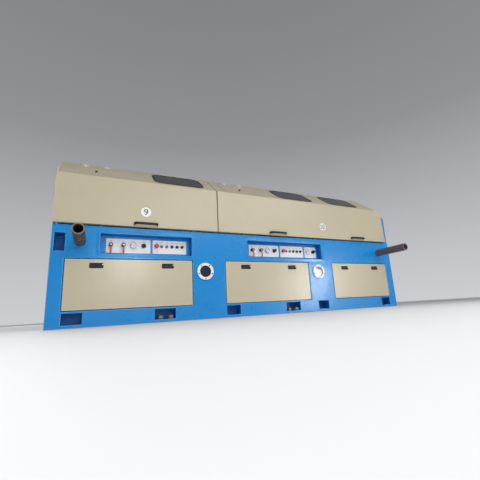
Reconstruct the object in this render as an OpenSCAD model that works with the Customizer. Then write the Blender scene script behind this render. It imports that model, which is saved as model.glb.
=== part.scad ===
// Two-station section of a straight-line wire drawing machine.
// X runs along the wire line, Y from the operator's side to the back, Z up.
// Places along X are measured from the left end and along Y from the front skin,
// and seat() then moves them to the part's frame, centred over the footprint.

/* [Bed] */
// Overall length of the section
bed_l = 4000; // [3600:10:4400]
// Pitch of the columns that the bed is laid out on: each place along it is in columns
column = bed_l / 40;
// Depth over the front and rear skins
bed_d = 1100; // [1060:10:1300]
// Height of the deck's upper face
bed_h = 856; // [840:2:900]
// Thickness of the base plate
base_t = 20; // [12:1:24]
// Thickness of the front and rear skins
skin_t = 10; // [6:1:12]
// Thickness of the two end plates
end_t = 12; // [8:1:16]
// Thickness of the deck plate
deck_t = 16; // [10:1:20]

/* [Covers] */
// Left edges of the three lower covers
cover_x = column * [1.10, 15.39, 29.53];
// Right edges of the three lower covers
cover_end = column * [11.85, 25.87, 38.85];
// Height of the lower covers' bottom edge
cover_z = 138; // [134:1:150]
// Height of the lower covers
cover_h = 423; // [380:1:426]
// Sheet thickness of the covers
cover_t = 3; // [2:0.5:4]
// Open gap round each cover
cover_gap = 8; // [5:1:10]
// Depth of the rebate that a cover sits in
rebate_d = 24; // [18:1:30]
// Width of the ledge behind a cover
ledge_w = 25; // [15:1:35]
// Sheet thickness of the rebate
rebate_t = 6; // [4:1:8]
// Centres of the cover latches
latch_x = column * [3.46, 9.51, 17.68, 23.55, 31.52, 36.72];
// Corner radius of a latch
latch_r = 9; // [4:1:14]
// Width of a latch
latch_w = 112; // [100:1:120]
// Height of a latch
latch_h = 46; // [40:1:50]
// Distance of the latches' centres below the covers' top edge
latch_drop = 55; // [45:1:70]

/* [Control recesses] */
// Left edges of the two control recesses
recess_x = column * [3.67, 18.03];
// Widths of the two control recesses
recess_w = [817, 1001]; // [800:1:1010]
// Distance of the recesses' upper edge below the deck's upper face
recess_drop = 64; // [54:1:74]
// Height of the recesses
recess_h = 182; // [170:1:190]
// Depth of the recesses
recess_d = 75; // [70:1:90]
// Sheet thickness of the recesses
recess_t = 4; // [3:0.5:5]
// Width of the raised lip round a recess
lip_w = 24; // [10:1:28]
// Height of the control plates
panel_h = 133; // [126:1:140]
// Height of the controls above the plates' middle
control_rise = 6; // [0:1:8]
// Thickness of the control plates
panel_t = 3; // [2:0.5:4]
// Margin from a recess's left wall to its first plate
panel_in = 47; // [45:1:50]
// Width of the plate with the air valves
valve_panel_w = 386; // [380:1:390]
// Width of the plate with the push buttons
button_panel_w = 326; // [320:1:330]
// Width of the plate with a gauge alone
gauge_panel_w = 172; // [165:1:175]
// Gap between neighbouring plates
panel_gap = 21; // [15:1:22]
// Distance from a valve plate's left edge to its first valve
valve_in = 40; // [40:1:44]
// Distance between the two valves
valve_pitch = 106; // [106:1:110]
// Length of a valve lever from its stem
lever_l = 82; // [70:1:82]
// Width of a valve lever
lever_w = 15; // [12:1:18]
// Diameter of a valve hub
hub_d = 34; // [30:1:36]
// Diameter of a valve stem
stem_d = 10; // [8:0.5:12]
// Distance from a valve plate's left edge to its gauge
gauge_in = 234; // [230:1:240]
// Distance from a valve plate's left edge to its regulator knob
regulator_in = 326; // [320:1:332]
// Diameter of a pressure gauge
gauge_d = 58; // [50:1:60]
// Distance from a button plate's left edge to its first button
button_in = 34; // [30:1:36]
// Distance between buttons
button_pitch = 50; // [46:1:51]
// Diameter of the emergency button's head
mushroom_d = 42; // [36:1:44]
// Diameter of a push button's ring
button_d = 29; // [26:0.5:30]

/* [Openings in the front] */
// Left edges of the six anchor pockets
pocket_x = column * [1.10, 8.35, 15.35, 22.39, 26.87, 37.27];
// Widths of the six anchor pockets
pocket_w = [150, 188, 150, 188, 150, 150]; // [140:1:190]
// Height of the pockets' lower edge
pocket_z = 24; // [22:1:28]
// Height of the pockets
pocket_h = 92; // [80:1:95]
// Corner radius of the pockets and the hand hole
pocket_r = 4; // [2:1:10]
// Depth of the boxes behind the pockets and the hand hole
box_d = 105; // [95:1:120]
// Sheet thickness of these boxes
box_t = 4; // [3:0.5:6]
// Left edge of the hand hole
hand_x = 22; // [20:1:26]
// Width of the hand hole
hand_w = 78; // [70:1:80]
// Lower edge of the hand hole
hand_z = 627; // [600:1:640]
// Height of the hand hole
hand_h = 155; // [140:1:160]
// Centres of the two round ports
port_x = column * [13.17, 27.28];
// Height of the ports' centres
port_z = 457; // [450:1:462]
// Diameter of a port's flange
port_d = 168; // [150:1:172]
// Diameter of a port's glass
port_glass_d = 112; // [100:1:116]
// Height of a port's flange above the skin
port_proud = 13; // [8:1:16]
// Width across an anchor nut
nut_w = 55; // [46:1:60]
// Height of an anchor nut
nut_h = 24; // [18:1:26]
// Height of the washer under it
washer_h = 12; // [6:1:14]
// Distance of the anchor bolts from the outside of the skin
bolt_in = 47; // [46:1:60]
// Distance of the anchor bolts' middle from the pocket's middle
bolt_shift = 9; // [0:1:10]
// Half the distance between the two bolts of a pocket
bolt_half = 47; // [45:1:48]

/* [Lifting pipes] */
// Centres of the two lifting pipes
pipe_x = column * [2.12, 37.74];
// Height of the pipes' centres
pipe_z = 712; // [700:1:730]
// Outside diameter of a lifting pipe
pipe_d = 89; // [80:1:95]
// Wall of a lifting pipe
pipe_t = 10; // [6:1:12]
// Reach of the pipes beyond each skin
pipe_reach = 433; // [400:1:450]

/* [Hoods] */
// Sheet thickness of the hoods
hood_t = 3; // [2:0.5:4]
// Left end of the left hood
hood_left = 0; // [0:1:4]
// Place of the split between the hoods
split_x = column * 14.63;
// Gap at the split
split_gap = 8; // [6:1:10]
// Length of the bed beyond the right hood
outlet_l = 68; // [60:1:80]
// Overhang of the hoods beyond the front skin
hood_over = 22; // [15:1:30]
// Gap between deck and hood
hood_gap = 12; // [8:1:16]
// Height of a hood's front face
front_h = 448; // [440:1:460]
// Depth taken by the slope
slope_run = 342; // [335:1:350]
// Height taken by the slope
slope_rise = 258; // [250:1:265]
// Radius of the right hood's shoulder
shoulder_r = 100; // [80:1:110]
// Width of the turned-in bottom edges
edge_w = 40; // [30:1:40]
// Width of the turned-in edges at the split
split_edge_w = 28; // [20:1:30]

/* [Hood fittings] */
// Distance of the left drawing block from the split
block_to_split = 376; // [350:1:390]
// Centres of the windows along the machine, the first one over the left block
window_x = [split_x - block_to_split, column * 25.30, column * 33.04];
// Width of a window
window_w = 500; // [470:1:520]
// Height of a window along the slope
window_h = 330; // [300:1:340]
// Distance from the crease to a window's middle
window_s = 212; // [205:1:218]
// Corner radius of a window
window_r = 80; // [50:1:100]
// Thickness of a pane
pane_t = 5; // [4:0.5:6]
// Width of the rubber on the sheet
gasket_w = 10; // [8:1:14]
// Height of the rubber above the sheet
gasket_t = 4; // [3:0.5:6]
// Width of the rubber inside its opening
gasket_web = 8; // [6:1:18]
// Left edges of the two soap flaps
flap_x = column * [1.23, 15.79];
// Width of a flap
flap_w = 364; // [350:1:370]
// Length of a flap along the slope
flap_l = 328; // [310:1:332]
// Distance from the crease to a flap's lower edge
flap_s = 12; // [8:1:16]
// Distance of the hinges from a flap's side
flap_hinge_in = 84; // [70:1:90]
// Centres of the pull handles
handle_x = column * [7.45, 21.87, 34.11];
// Height of the handles above the hoods' lower edge
handle_up = 25; // [22:1:30]
// Width of a handle
handle_w = 216; // [200:1:230]
// Stand-off of a handle
handle_out = 42; // [36:1:46]
// Height of a handle's band
handle_h = 24; // [20:1:26]
// Thickness of a handle's band
handle_t = 11; // [8:1:13]
// Radius of a handle's outer corners
handle_r = 26; // [16:1:30]
// Centres of the number discs
disc_x = column * [7.42, 28.53];
// Height of the number discs above the hoods' lower edge
disc_up = 146; // [140:1:150]
// Diameter of a number disc
disc_d = 102; // [90:1:110]
// Centres of the rubber buffers
buffer_x = column * [3.47, 11.84, 17.47, 27.10, 36.30];

/* [Hinges] */
// Thickness of the rear wall
rear_t = 20; // [16:1:24]
// Depth of the rear wall's notches below the hinge line
wall_drop = 21; // [20:1:24]
// Centres of the hood hinges
hinge_x = column * [2.50, 12.10, 17.50, 36.50];
// Radius of a hinge knuckle
knuckle_r = 14; // [12:1:14]
// Radius of a hinge pin
pin_r = 8; // [6:0.5:9]
// Running clearance round pins and stems
run_gap = 0.05; // [0.03:0.01:0.08]
// Clearance between faces that seat
seat_gap = 0.3; // [0.2:0.1:0.5]

/* [Drawing gear] */
// Distance of the blocks' centres from the front skin
block_y = 560; // [540:1:600]
// Diameter of a block's working face
block_d = 560; // [500:1:570]
// Height of a block above the deck
block_h = 400; // [350:1:420]
// Width of a block's foot beyond its working face
block_foot = 34; // [25:1:36]
// Height of the wire line above the deck
wire_up = 150; // [140:1:170]
// Diameter of the guide pulley
pulley_d = 320; // [280:1:340]
// Diameter of the guide pulley's foot
pulley_foot_d = 180; // [150:1:200]
// Diameter of the guide pulley's post
pulley_post_d = 90; // [70:1:100]
// Half height of the guide pulley's rim
rim_h = 22; // [18:1:26]
// Depth of the groove in the rim
groove_d = 14; // [10:1:18]
// Width of a die box
die_w = 290; // [260:1:310]
// Height of a die box above the deck
die_h = 250; // [230:1:270]
// Height of a die box's foot
die_foot_h = 60; // [50:1:80]
// Reach of a die box in front of the wire
die_front = 110; // [95:1:120]
// Reach of a die box behind the wire
die_back = 90; // [80:1:100]
// Wall of a die box
die_t = 8; // [6:1:10]
// Length of a die holder beyond its box
holder_l = 60; // [50:1:65]
// Diameter of a die holder
holder_d = 90; // [80:1:100]

/* [Hidden] */
$fn = 48;

blue = "steelblue";
cream = "antiquewhite";
black = [0.08, 0.08, 0.08];
eps = 1;

cover_w = cover_end - cover_x;
deck_under = bed_h - deck_t;
hood_z = bed_h + hood_gap;
hood_y = -hood_over;
hood_right = bed_l - outlet_l;
crease_z = hood_z + front_h;
ridge_y = hood_y + slope_run;
ridge_z = crease_z + slope_rise;
slope_a = atan2(slope_rise, slope_run);
recess_z = bed_h - recess_drop - recess_h;
panel_y = recess_d - panel_t;
panel_z = recess_z + recess_h / 2;
control_z = panel_z + control_rise;
wall_y = bed_d - rear_t;
hinge_y = bed_d - rear_t / 2;
hinge_z = ridge_z - hood_t - knuckle_r - 1;
side_y = wall_y - 8;
lid_y = bed_d + 8;
outlet_x = hood_right + 8;
block_x = [window_x[0], window_x[1]];
wire_y = block_y - block_d / 2;
wire_z = bed_h + wire_up;
lever_y = panel_y - 27;
lever_t = 5;
// Flap hinge line, measured up the slope and out from it
axis_s = flap_s + flap_l + 9;
axis_n = 9;

// Shared shapes

// Moves a piece from the machine's corner to the middle of its footprint
module seat() {
    translate([-bed_l / 2, -bed_d / 2, 0]) children();
}

// A block given by its low and high corners
module span(lo, hi) {
    translate(lo) cube(hi - lo);
}

// A rectangle with round corners, its middle at the origin
module round_rect(w, h, r) {
    square([w - 2 * r, h], center = true);
    square([w, h - 2 * r], center = true);
    for (sx = [-1, 1], sy = [-1, 1])
        translate([sx * (w / 2 - r), sy * (h / 2 - r)]) circle(r);
}

// A flat shape stood up in the front skin's plane, from y0 to y1
module upright(y0, y1) {
    translate([0, y1, 0]) rotate([90, 0, 0]) linear_extrude(y1 - y0) children();
}

// A round bar along Y
module bar_y(x, z, r, y0, y1) {
    translate([x, y0, z]) rotate([-90, 0, 0]) cylinder(r = r, h = y1 - y0);
}

// A round bar along X
module bar_x(y, z, r, x0, x1) {
    translate([x0, y, z]) rotate([0, 90, 0]) cylinder(r = r, h = x1 - x0);
}

// Children lie on the slope: X along the machine, Y up the slope, Z outwards
module on_slope(x, s) {
    translate([x, hood_y + s * cos(slope_a), crease_z + s * sin(slope_a)])
        rotate([slope_a, 0, 0]) children();
}

// Turns a piece of the front round to the rear skin
module on_rear() {
    translate([bed_l, bed_d, 0]) rotate([0, 0, 180]) children();
}

// Bed

module pocket_cuts() {
    for (i = [0 : len(pocket_x) - 1])
        translate([pocket_x[i] + pocket_w[i] / 2, 0, pocket_z + pocket_h / 2])
            upright(-eps, skin_t + eps) round_rect(pocket_w[i], pocket_h, pocket_r);
}

module cover_rebates() {
    out = cover_gap + rebate_t;
    for (i = [0 : len(cover_x) - 1])
        span([cover_x[i] - out, 0, cover_z - out],
             [cover_x[i] + cover_w[i] + out, rebate_d + rebate_t, cover_z + cover_h + out]);
}

module cover_openings() {
    for (i = [0 : len(cover_x) - 1]) {
        span([cover_x[i] - cover_gap, -eps, cover_z - cover_gap],
             [cover_x[i] + cover_w[i] + cover_gap, rebate_d, cover_z + cover_h + cover_gap]);
        span([cover_x[i] + ledge_w, 0, cover_z + ledge_w],
             [cover_x[i] + cover_w[i] - ledge_w, rebate_d + rebate_t + eps,
              cover_z + cover_h - ledge_w]);
    }
}

// Open box welded behind the skin, from the low to the high corner of its inside
module sheet_box(lo, hi) {
    difference() {
        span([lo[0] - box_t, skin_t - eps, lo[1] - box_t],
             [hi[0] + box_t, box_d + box_t, hi[1] + box_t]);
        span([lo[0], 0, lo[1]], [hi[0], box_d, hi[1]]);
    }
}

// Boxes behind the anchor pockets, standing on the base plate
module pocket_boxes() {
    difference() {
        for (i = [0 : len(pocket_x) - 1])
            sheet_box([pocket_x[i], base_t],
                      [pocket_x[i] + pocket_w[i], pocket_z + pocket_h]);
        span([0, 0, 0], [bed_l, bed_d, base_t]);
    }
}

module pipe_cuts(y0, y1) {
    for (x = pipe_x) bar_y(x, pipe_z, pipe_d / 2 + seat_gap, y0, y1);
}

module skin() {
    span([0, 0, base_t], [bed_l, skin_t, deck_under]);
    cover_rebates();
}

module base_plate() {
    color(blue) seat() span([0, 0, 0], [bed_l, bed_d, base_t]);
}

module front_plate() {
    color(blue) seat() difference() {
        union() {
            skin();
            pocket_boxes();
            sheet_box([hand_x, hand_z], [hand_x + hand_w, hand_z + hand_h]);
        }
        cover_openings();
        pocket_cuts();
        for (i = [0, 1])
            span([recess_x[i] - recess_t, -eps, recess_z - recess_t],
                 [recess_x[i] + recess_w[i] + recess_t, skin_t + eps,
                  recess_z + recess_h + recess_t]);
        translate([hand_x + hand_w / 2, 0, hand_z + hand_h / 2])
            upright(-eps, skin_t + eps) round_rect(hand_w, hand_h, pocket_r);
        for (x = port_x) bar_y(x, port_z, port_glass_d / 2, -eps, skin_t + eps);
        pipe_cuts(-eps, skin_t + eps);
    }
}

module rear_plate() {
    color(blue) seat() difference() {
        on_rear() difference() {
            union() {
                skin();
                pocket_boxes();
            }
            cover_openings();
            pocket_cuts();
        }
        pipe_cuts(bed_d - skin_t - eps, bed_d + eps);
    }
}

module end_plates() {
    color(blue) seat() for (x = [0, bed_l - end_t])
        span([x, skin_t, base_t], [x + end_t, bed_d - skin_t, deck_under]);
}

module deck_plate() {
    color(blue) seat() span([0, 0, deck_under], [bed_l, bed_d, bed_h]);
}

// Blue wall at the outlet end, a step inside the hood's profile
module outlet_wall() {
    low = 45 / cos(slope_a);
    front = 10;
    top = ridge_z - 60;
    color(blue) seat() difference() {
        translate([outlet_x, 0, 0]) rotate([90, 0, 90]) linear_extrude(bed_l - outlet_x)
            polygon([[front, bed_h], [front, crease_z - 100],
                [front + 50, crease_z + (front + 50 - hood_y) * tan(slope_a) - low - 45],
                [ridge_y + (top + low - ridge_z) / tan(slope_a), top],
                [bed_d, top], [bed_d, bed_h]]);
        bar_x(wire_y, wire_z, 40, outlet_x - eps, bed_l + eps);
    }
}

// Upright wall behind the hoods, notched for the fixed half of their hinges
module rear_wall() {
    color(cream) seat() {
        difference() {
            span([0, wall_y, bed_h], [hood_right, bed_d, hinge_z - 1]);
            for (x = hinge_x)
                span([x - 45, wall_y - eps, hinge_z - wall_drop],
                     [x + 45, bed_d + eps, hinge_z]);
        }
        for (x = hinge_x) {
            for (side = [-1, 1]) {
                x0 = x + side * 28 - 7;
                bar_x(hinge_y, hinge_z, knuckle_r, x0, x0 + 14);
                span([x0, hinge_y - 9, hinge_z - wall_drop - eps],
                     [x0 + 14, hinge_y + 9, hinge_z]);
            }
            bar_x(hinge_y, hinge_z, pin_r, x - 28, x + 28);
        }
    }
}

// Lower covers

module latch_cut(x) {
    translate([x, 0, cover_z + cover_h - latch_drop])
        upright(-eps, cover_t + eps) round_rect(latch_w + 1, latch_h + 1, latch_r + 0.5);
}

module cover(x, w) {
    difference() {
        span([x, 0, cover_z], [x + w, rebate_d - seat_gap, cover_z + cover_h]);
        span([x + cover_t, cover_t, cover_z + cover_t],
             [x + w - cover_t, rebate_d, cover_z + cover_h - cover_t]);
        for (lx = latch_x) latch_cut(lx);
    }
}

module front_covers() {
    color(cream) seat() for (i = [0 : len(cover_x) - 1]) cover(cover_x[i], cover_w[i]);
}

module rear_covers() {
    color(cream) seat() on_rear()
        for (i = [0 : len(cover_x) - 1]) cover(cover_x[i], cover_w[i]);
}

// Flush latch: a frame with a finger pocket and its paddle
module latch() {
    difference() {
        upright(-2, 20) round_rect(latch_w, latch_h, latch_r);
        translate([0, 0, -4]) upright(-3, 12) round_rect(latch_w - 30, latch_h - 22, latch_r / 2);
    }
    translate([0, 0, 6]) upright(0, 12.5) round_rect(latch_w - 44, 14, 3);
}

module cover_latches() {
    color(black) seat() {
        for (x = latch_x) translate([x, 0, cover_z + cover_h - latch_drop]) latch();
        on_rear() for (x = latch_x)
            translate([x, 0, cover_z + cover_h - latch_drop]) latch();
    }
}

// Control recesses

function panel_left(i) = recess_x[i] + panel_in;
function button_left(i) = panel_left(i) + valve_panel_w + panel_gap;
function gauge_left(i) = button_left(i) + button_panel_w + panel_gap;
function valve_x(i, j) = panel_left(i) + valve_in + j * valve_pitch;

module control_recesses() {
    color(blue) seat() for (i = [0, 1]) {
        x0 = recess_x[i];
        x1 = recess_x[i] + recess_w[i];
        z1 = recess_z + recess_h;
        difference() {
            union() {
                span([x0 - recess_t, 0, recess_z - recess_t],
                     [x1 + recess_t, recess_d + recess_t, z1 + recess_t]);
                translate([(x0 + x1) / 2, 0, (recess_z + z1) / 2]) upright(-3, 0)
                    round_rect(x1 - x0 + 2 * lip_w, recess_h + 2 * lip_w, lip_w);
            }
            span([x0, -4, recess_z], [x1, recess_d, z1]);
        }
    }
}

module panel(x, w) {
    span([x, panel_y, panel_z - panel_h / 2], [x + w, recess_d, panel_z + panel_h / 2]);
}

module control_plates() {
    color("whitesmoke") seat() {
        for (i = [0, 1]) {
            panel(panel_left(i), valve_panel_w);
            panel(button_left(i), button_panel_w);
        }
        panel(gauge_left(1), gauge_panel_w);
    }
}

// A round control, its back on the plate: radius and height of each step
module stepped(x, steps) {
    for (s = steps) bar_y(x, control_z, s[0], panel_y - s[1], panel_y);
}

module pressure_gauges() {
    color("gainsboro") seat() {
        for (i = [0, 1]) stepped(panel_left(i) + gauge_in, [[gauge_d / 2, 20]]);
        stepped(gauge_left(1) + 48, [[gauge_d / 2, 20]]);
    }
}

module control_knobs() {
    color(black) seat() {
        for (i = [0, 1]) {
            stepped(panel_left(i) + regulator_in, [[17, 14], [21, 8], [14, 38]]);
            for (j = [3 : 5])
                stepped(button_left(i) + button_in + j * button_pitch,
                        [[button_d / 2, 9], [11, 26]]);
        }
        stepped(gauge_left(1) + 126, [[17, 14], [21, 8], [14, 38]]);
    }
}

module start_buttons() {
    color("seagreen") seat() for (i = [0, 1])
        stepped(button_left(i) + button_in + button_pitch, [[button_d / 2, 9], [10, 14]]);
}

module stop_buttons() {
    color("firebrick") seat() for (i = [0, 1]) {
        stepped(button_left(i) + button_in, [[button_d / 2, 12], [11, 24]]);
        bar_y(button_left(i) + button_in, control_z, mushroom_d / 2, panel_y - 36, panel_y - 22);
        stepped(button_left(i) + button_in + 2 * button_pitch, [[button_d / 2, 9], [10, 14]]);
    }
}

// Valve bonnet, stem and cap, with the lever's eye between bonnet and cap
module valve_hubs() {
    color(black) seat() for (i = [0, 1], j = [0, 1]) {
        x = valve_x(i, j);
        bar_y(x, control_z, hub_d / 2, lever_y + lever_t + seat_gap, panel_y);
        bar_y(x, control_z, stem_d / 2, lever_y - 8, panel_y);
        bar_y(x, control_z, hub_d / 2, lever_y - 10, lever_y - seat_gap);
    }
}

module valve_lever(x) {
    color("crimson") seat() difference() {
        union() {
            bar_y(x, control_z, hub_d / 2 - 2, lever_y, lever_y + lever_t);
            span([x - lever_w / 2, lever_y, control_z - lever_l + lever_w / 2],
                 [x + lever_w / 2, lever_y + lever_t, control_z]);
            bar_y(x, control_z - lever_l + lever_w / 2, lever_w / 2,
                  lever_y, lever_y + lever_t);
        }
        bar_y(x, control_z, stem_d / 2 + run_gap, lever_y - eps, lever_y + lever_t + eps);
    }
}

module valve_lever_9a() { valve_lever(valve_x(0, 0)); }
module valve_lever_9b() { valve_lever(valve_x(0, 1)); }
module valve_lever_10a() { valve_lever(valve_x(1, 0)); }
module valve_lever_10b() { valve_lever(valve_x(1, 1)); }

// Ports, pipes and feet

module port_flanges() {
    bolt_r = (port_d + port_glass_d) / 4;
    color("whitesmoke") seat() for (x = port_x) {
        difference() {
            bar_y(x, port_z, port_d / 2, -port_proud, 0);
            bar_y(x, port_z, port_glass_d / 2, -port_proud - eps, eps);
        }
        for (k = [0 : 4]) {
            a = 270 + 72 * k;
            bar_y(x + bolt_r * cos(a), port_z + bolt_r * sin(a), 6,
                  -port_proud - 5, -port_proud + eps);
        }
    }
}

module port_glasses() {
    color("dimgray") seat() for (x = port_x)
        bar_y(x, port_z, port_glass_d / 2 - seat_gap, -port_proud + 6, skin_t);
}

module lifting_pipes() {
    color("rosybrown") seat() for (x = pipe_x) difference() {
        bar_y(x, pipe_z, pipe_d / 2, -pipe_reach, bed_d + pipe_reach);
        bar_y(x, pipe_z, pipe_d / 2 - pipe_t, -pipe_reach - eps, bed_d + pipe_reach + eps);
    }
}

// Foundation bolts with washers, two in each of the wide pockets
module anchor_nuts() {
    color("silver") seat() for (i = [1, 3], side = [-1, 1], back = [0, 1]) {
        x = pocket_x[i] + pocket_w[i] / 2 + bolt_shift + side * bolt_half;
        translate([back ? bed_l - x : x, back ? bed_d - bolt_in : bolt_in, base_t]) {
            cylinder(r = nut_w / 2 + 8, h = washer_h);
            cylinder(r = nut_w / sqrt(3), h = washer_h + nut_h, $fn = 6);
            cylinder(r = 15, h = washer_h + nut_h + 10);
        }
    }
}

module hood_buffers() {
    color(black) seat() for (x = buffer_x)
        translate([x, 14, bed_h]) cylinder(r = 13, h = hood_gap - seat_gap);
}

// Drawing gear under the hoods

module drawing_blocks() {
    r = block_d / 2;
    color("lightslategray") seat() for (x = block_x) translate([x, block_y, bed_h])
        rotate_extrude($fn = 72) polygon([[0, 0], [r + block_foot, 0], [r + block_foot, 40],
            [r + 20, 60], [r + 20, 90], [r, 110], [r - 12, block_h - 40], [r - 12, block_h - 22],
            [r - 30, block_h - 22], [r - 30, block_h], [70, block_h], [50, block_h - 30],
            [0, block_h - 30]]);
}

// Soap box with its die holder, open at the top
module die_boxes() {
    foot_in = 30;
    z = bed_h + die_foot_h;
    y0 = wire_y - die_front;
    y1 = wire_y + die_back;
    color("gray") seat() for (fx = flap_x) {
        x0 = fx + (flap_w - die_w) / 2;
        x1 = x0 + die_w;
        difference() {
            union() {
                span([x0, y0, z], [x1, y1, bed_h + die_h]);
                span([x0 + foot_in, y0 + foot_in, bed_h], [x1 - foot_in, y1 - foot_in, z + eps]);
                bar_x(wire_y, wire_z, holder_d / 2, x1 - eps, x1 + holder_l);
            }
            span([x0 + die_t, y0 + die_t, z + 20], [x1 - die_t, y1 - die_t, bed_h + die_h + eps]);
            bar_x(wire_y, wire_z, 8, x0 - eps, x1 + holder_l + eps);
        }
    }
}

module guide_pulley() {
    r = pulley_d / 2;
    foot = pulley_foot_d / 2;
    post = pulley_post_d / 2;
    foot_h = 16;
    color("gray") seat() translate([window_x[2], wire_y + r - groove_d, bed_h])
        rotate_extrude($fn = 64) polygon([[0, 0], [foot, 0], [foot, foot_h], [post, foot_h],
            [post, wire_up - rim_h], [r, wire_up - rim_h], [r - groove_d, wire_up],
            [r, wire_up + rim_h], [post, wire_up + rim_h], [post, wire_up + 2 * rim_h - 4],
            [0, wire_up + 2 * rim_h - 4]]);
}

// Hoods

// Side profile of the hoods, each sheet moved in by t
function hood_profile(t) = let (
        crease = t * (1 - sin(slope_a)) / cos(slope_a),
        ridge = t * tan(slope_a / 2),
        back = t == 0 ? side_y : lid_y + eps)
    [[hood_y + t, hood_z + t], [hood_y + t, crease_z - crease],
     [ridge_y + ridge, ridge_z - t], [back, ridge_z - t], [back, hood_z + t]];

module hood_prism(x0, x1, t) {
    translate([x0, 0, 0]) rotate([90, 0, 90]) linear_extrude(x1 - x0)
        polygon(hood_profile(t));
}

// Flat area left of x1 and under the top line, with its corner rounded to r
module shoulder_area(x1, r) {
    square_l = hood_right + 200;
    translate([x1 - square_l, -square_l]) square([square_l - r, square_l]);
    translate([x1 - square_l, -square_l]) square([square_l, square_l - r]);
    translate([x1 - r, -r]) circle(r);
}

// The space left of the shoulder that rounds the slope and the lid into the right side
module shoulder_bars(x1, t) {
    long = 4 * bed_d;
    intersection() {
        translate([0, hood_y, crease_z]) rotate([90 + slope_a, 0, 0])
            translate([0, 0, -long / 2]) linear_extrude(long)
                translate([0, -t]) shoulder_area(x1, shoulder_r - t);
        translate([0, long / 2, ridge_z - t]) rotate([90, 0, 0]) linear_extrude(long)
            shoulder_area(x1, shoulder_r - t);
    }
}

// A hood's outer or inner space, t in from its outer faces
module hood_space(x0, x1, shoulder, t) {
    intersection() {
        hood_prism(x0, x1, t);
        if (shoulder) shoulder_bars(x1, t);
        else hood_prism(x0, x1, t);
    }
}

// Sheet of a hood, with turned-in edges and an open underside and back
module hood_shell(x0, x1, shoulder) {
    closed_x = shoulder ? x1 - hood_t : x0;
    open_x = shoulder ? x0 : x1 - hood_t;
    difference() {
        union() {
            hood_space(x0, x1, shoulder, 0);
            span([x0, side_y - eps, ridge_z - hood_t],
                 [x1 - (shoulder ? shoulder_r : 0), lid_y, ridge_z]);
        }
        hood_space(x0 + hood_t, x1 - hood_t, shoulder, hood_t);
        // open end at the split
        hood_prism(open_x - eps, open_x + hood_t + eps, split_edge_w);
        span([x0 + edge_w, hood_y + edge_w, hood_z - eps],
             [x1 - edge_w, lid_y + eps, hood_z + hood_t + eps]);
        // slot for the wire in the closed side
        span([closed_x - eps, wire_y - 60, hood_z - eps],
             [closed_x + hood_t + eps, wire_y + 60, wire_z + 80]);
    }
}

// Moving half of a hood hinge, welded under the lid
module hinge_ear(x) {
    difference() {
        union() {
            bar_x(hinge_y, hinge_z, knuckle_r, x - 20, x + 20);
            span([x - 20, hinge_y - 12, hinge_z], [x + 20, hinge_y + 12, ridge_z - hood_t]);
        }
        bar_x(hinge_y, hinge_z, pin_r + run_gap, x - 21, x + 21);
    }
}

module window_cut(x) {
    on_slope(x, window_s) translate([0, 0, -20]) linear_extrude(40)
        round_rect(window_w, window_h, window_r);
}

module flap_cut(x) {
    on_slope(x + flap_w / 2, flap_s + flap_l / 2) translate([0, 0, -20]) linear_extrude(40)
        round_rect(flap_w - 40, flap_l - 40, 15);
}

module hood_9() {
    color(cream) seat() {
        difference() {
            hood_shell(hood_left, split_x - split_gap / 2, false);
            window_cut(window_x[0]);
            flap_cut(flap_x[0]);
        }
        for (i = [0, 1]) hinge_ear(hinge_x[i]);
    }
}

module hood_10() {
    color(cream) seat() {
        difference() {
            hood_shell(split_x + split_gap / 2, hood_right, true);
            for (i = [1, 2]) window_cut(window_x[i]);
            flap_cut(flap_x[1]);
        }
        for (i = [2, 3]) hinge_ear(hinge_x[i]);
    }
}

// Rubber section: a lip on the sheet, a web in the opening and a seat for the pane
module gasket(x) {
    on_slope(x, window_s) difference() {
        union() {
            translate([0, 0, run_gap]) linear_extrude(gasket_t)
                round_rect(window_w + 2 * gasket_w, window_h + 2 * gasket_w,
                           window_r + gasket_w);
            translate([0, 0, -hood_t]) linear_extrude(hood_t + eps)
                round_rect(window_w - 2 * seat_gap, window_h - 2 * seat_gap, window_r);
        }
        translate([0, 0, -hood_t - eps]) linear_extrude(hood_t + gasket_t + 2 * eps)
            round_rect(window_w - 2 * gasket_web, window_h - 2 * gasket_web,
                       window_r - gasket_web);
    }
}

module pane(x) {
    edge = gasket_web + seat_gap;
    on_slope(x, window_s) translate([0, 0, -hood_t]) linear_extrude(pane_t)
        round_rect(window_w - 2 * edge, window_h - 2 * edge, window_r - edge);
}

module gasket_9() { color(black) seat() gasket(window_x[0]); }
module gaskets_10() { color(black) seat() for (i = [1, 2]) gasket(window_x[i]); }
module window_9() { color([0.2, 0.2, 0.24, 0.7]) seat() pane(window_x[0]); }
module windows_10() {
    color([0.2, 0.2, 0.24, 0.7]) seat() for (i = [1, 2]) pane(window_x[i]);
}

// Moulded bow handle, a flat band bent out from the hood
module handle(x) {
    translate([x, hood_y, hood_z + handle_up - handle_h / 2]) linear_extrude(handle_h) {
        difference() {
            translate([0, handle_r - handle_out]) round_rect(handle_w, 2 * handle_r, handle_r);
            translate([0, handle_r - handle_out + handle_t])
                round_rect(handle_w - 2 * handle_t, 2 * handle_r, handle_r - handle_t);
            translate([-handle_w / 2 - eps, handle_r - handle_out])
                square([handle_w + 2 * eps, 3 * handle_r]);
        }
        for (side = [-1, 1])
            translate([side * (handle_w - handle_t) / 2, (handle_r - handle_out) / 2])
                square([handle_t, handle_out - handle_r], center = true);
    }
}

module handle_9() { color(black) seat() handle(handle_x[0]); }
module handles_10() { color(black) seat() for (i = [1, 2]) handle(handle_x[i]); }

module number_disc(x) {
    color("white") seat() bar_y(x, hood_z + disc_up, disc_d / 2, hood_y - 2, hood_y);
}

module number_disc_9() { number_disc(disc_x[0]); }
module number_disc_10() { number_disc(disc_x[1]); }

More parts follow.
